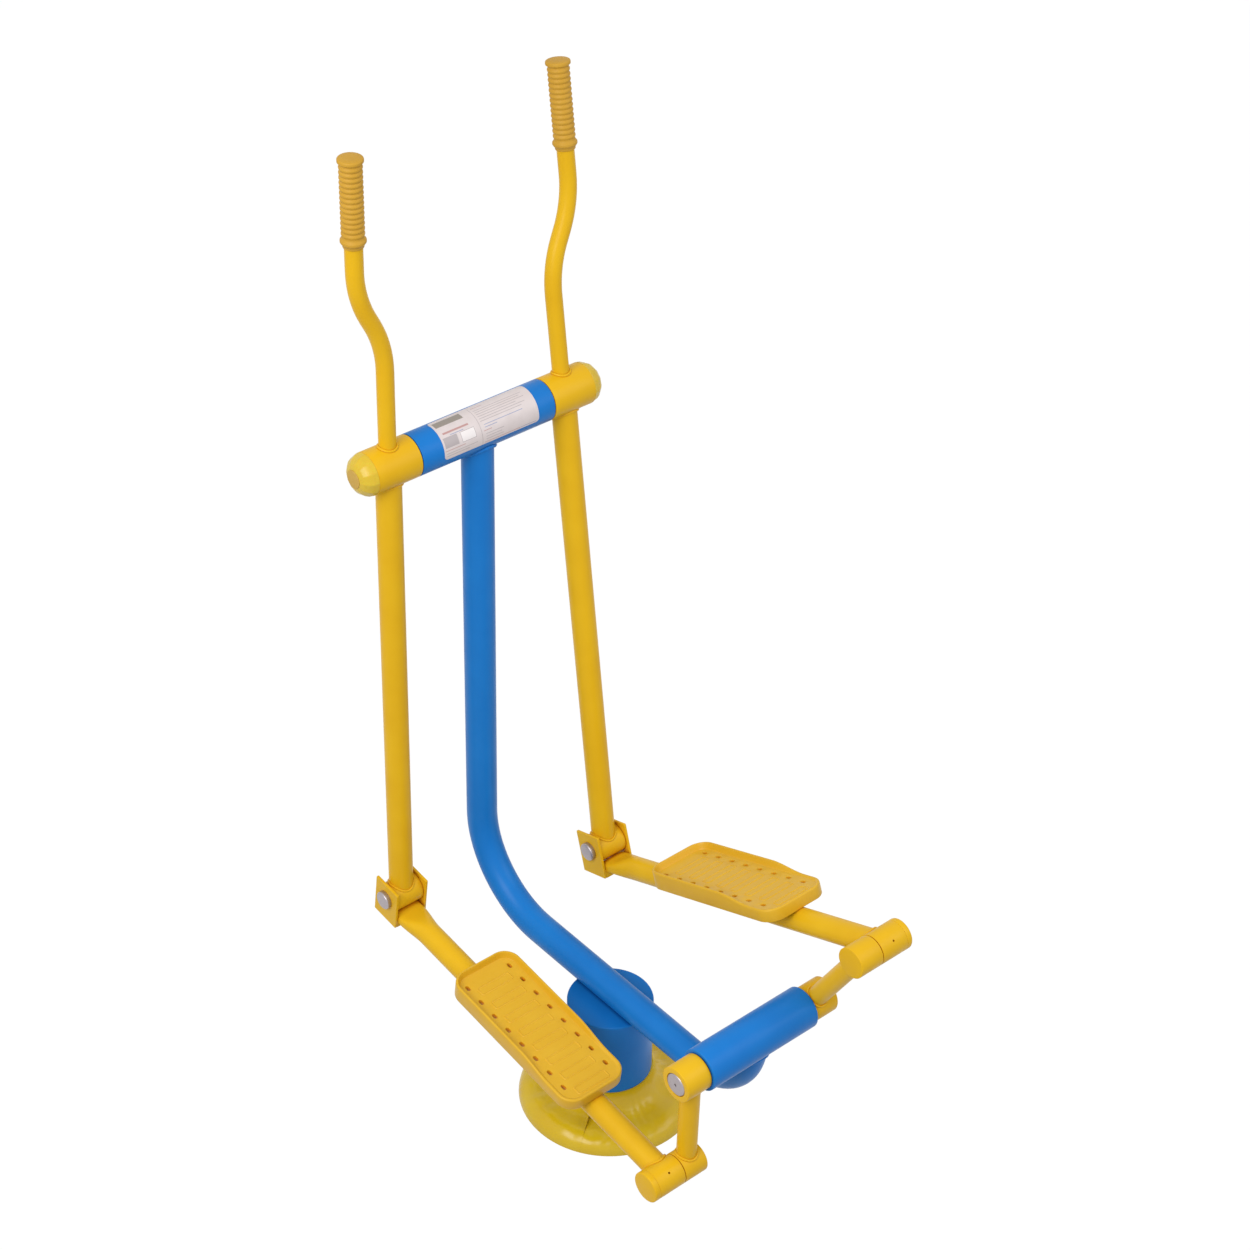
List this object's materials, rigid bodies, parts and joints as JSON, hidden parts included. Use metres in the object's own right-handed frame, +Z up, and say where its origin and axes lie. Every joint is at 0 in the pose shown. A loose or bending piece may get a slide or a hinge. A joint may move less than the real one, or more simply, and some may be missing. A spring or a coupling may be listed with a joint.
{
  "type": "outdoor cross trainer",
  "caption": "Free-standing outdoor cross trainer: swinging arms with hand grips linked by long foot bars with footplates to a rear crank, on a round pedestal.",
  "frame": {"origin": "centre of the round base flange, on the ground", "axes": "+Z up, +Y towards the front post and the way the user faces, +X to the user's right"},
  "size_m": [0.518, 0.9835, 1.8567],
  "materials": {
    "blue_paint": "glossy powder coat",
    "yellow_paint": "glossy powder coat",
    "cover_plastic": "glossy moulded plastic",
    "cap_plastic": "glossy moulded plastic",
    "disc_plastic": "matt moulded plastic",
    "grip_rubber": "soft ribbed grip, satin",
    "footplate_plastic": "satin moulded plastic",
    "bright_steel": "zinc plated",
    "bearing_steel": "ground steel",
    "galvanised_steel": "hot dip galvanised",
    "label_foil": "blank printed foil base"
  },
  "bodies": {
    "frame": {"base_flange": "galvanised_steel", "base_cover_front": "cover_plastic", "base_cover_rear": "cover_plastic", "pedestal_drum": "blue_paint", "drum_lid": "blue_paint", "main_tube": "blue_paint", "crossbar_housing": "blue_paint", "crossbar_plug_left": "blue_paint", "crossbar_plug_right": "blue_paint", "label_plate": "label_foil", "top_axle": "bright_steel", "axle_nut_left": "bright_steel", "axle_nut_right": "bright_steel", "crank_housing": "blue_paint", "crank_bearing_left": "bearing_steel", "crank_bearing_right": "bearing_steel"},
    "crank": {"crank_shaft": "bright_steel", "crank_hub_left": "yellow_paint", "crank_hub_right": "yellow_paint", "crank_disc_left": "bright_steel", "crank_disc_right": "bright_steel", "crank_arm_left": "yellow_paint", "crank_arm_right": "yellow_paint", "crank_end_left": "yellow_paint", "crank_end_right": "yellow_paint"},
    "left_arm": {"left_hub": "yellow_paint", "left_hub_bearing": "bearing_steel", "left_domed_cap": "cap_plastic", "left_cap_disc": "disc_plastic", "left_handle": "yellow_paint", "left_grip": "grip_rubber", "left_lower_arm": "yellow_paint", "left_arm_bush": "yellow_paint"},
    "right_arm": {"right_hub": "yellow_paint", "right_hub_bearing": "bearing_steel", "right_domed_cap": "cap_plastic", "right_cap_disc": "disc_plastic", "right_handle": "yellow_paint", "right_grip": "grip_rubber", "right_lower_arm": "yellow_paint", "right_arm_bush": "yellow_paint"},
    "left_foot_bar": {"left_clevis": "yellow_paint", "left_pivot_pin": "bright_steel", "left_pin_cap": "bright_steel", "left_foot_bar": "yellow_paint", "left_foot_seats": "yellow_paint", "left_footplate": "footplate_plastic", "left_rear_bush": "yellow_paint", "left_rear_plug": "bearing_steel", "left_end_cap": "yellow_paint"},
    "right_foot_bar": {"right_clevis": "yellow_paint", "right_pivot_pin": "bright_steel", "right_pin_cap": "bright_steel", "right_foot_bar": "yellow_paint", "right_foot_seats": "yellow_paint", "right_footplate": "footplate_plastic", "right_rear_bush": "yellow_paint", "right_rear_plug": "bearing_steel", "right_end_cap": "yellow_paint"}
  },
  "joints": [
    {"name": "crank_turn", "type": "hinge", "parent": "frame", "child": "crank", "pos_m": [0, -0.368, 0.42], "axis": [-1, 0, 0], "range_deg": [0, 60]},
    {"name": "left_arm_swing", "type": "hinge", "parent": "frame", "child": "left_arm", "pos_m": [-0.186, 0.377, 1.2806], "axis": [1, 0, 0], "range_deg": [-10.71, 0.01]},
    {"name": "left_bar_pivot", "type": "hinge", "parent": "left_arm", "child": "left_foot_bar", "pos_m": [-0.186, 0.38306, 0.33732], "axis": [1, 0, 0], "range_deg": [-0.01, 3.91]},
    {"name": "right_arm_swing", "type": "hinge", "parent": "frame", "child": "right_arm", "pos_m": [0.186, 0.377, 1.2806], "axis": [1, 0, 0], "range_deg": [-0.01, 12.83]},
    {"name": "right_bar_pivot", "type": "hinge", "parent": "right_arm", "child": "right_foot_bar", "pos_m": [0.186, 0.24109, 0.34714], "axis": [1, 0, 0], "range_deg": [-13.38, 0.01]}
  ],
  "couplings": [
    {"joint": "left_arm_swing", "follows": "crank_turn", "ratio": -0.17832},
    {"joint": "left_bar_pivot", "follows": "crank_turn", "ratio": 0.065001},
    {"joint": "right_arm_swing", "follows": "crank_turn", "ratio": 0.21364},
    {"joint": "right_bar_pivot", "follows": "crank_turn", "ratio": -0.22285}
  ]
}
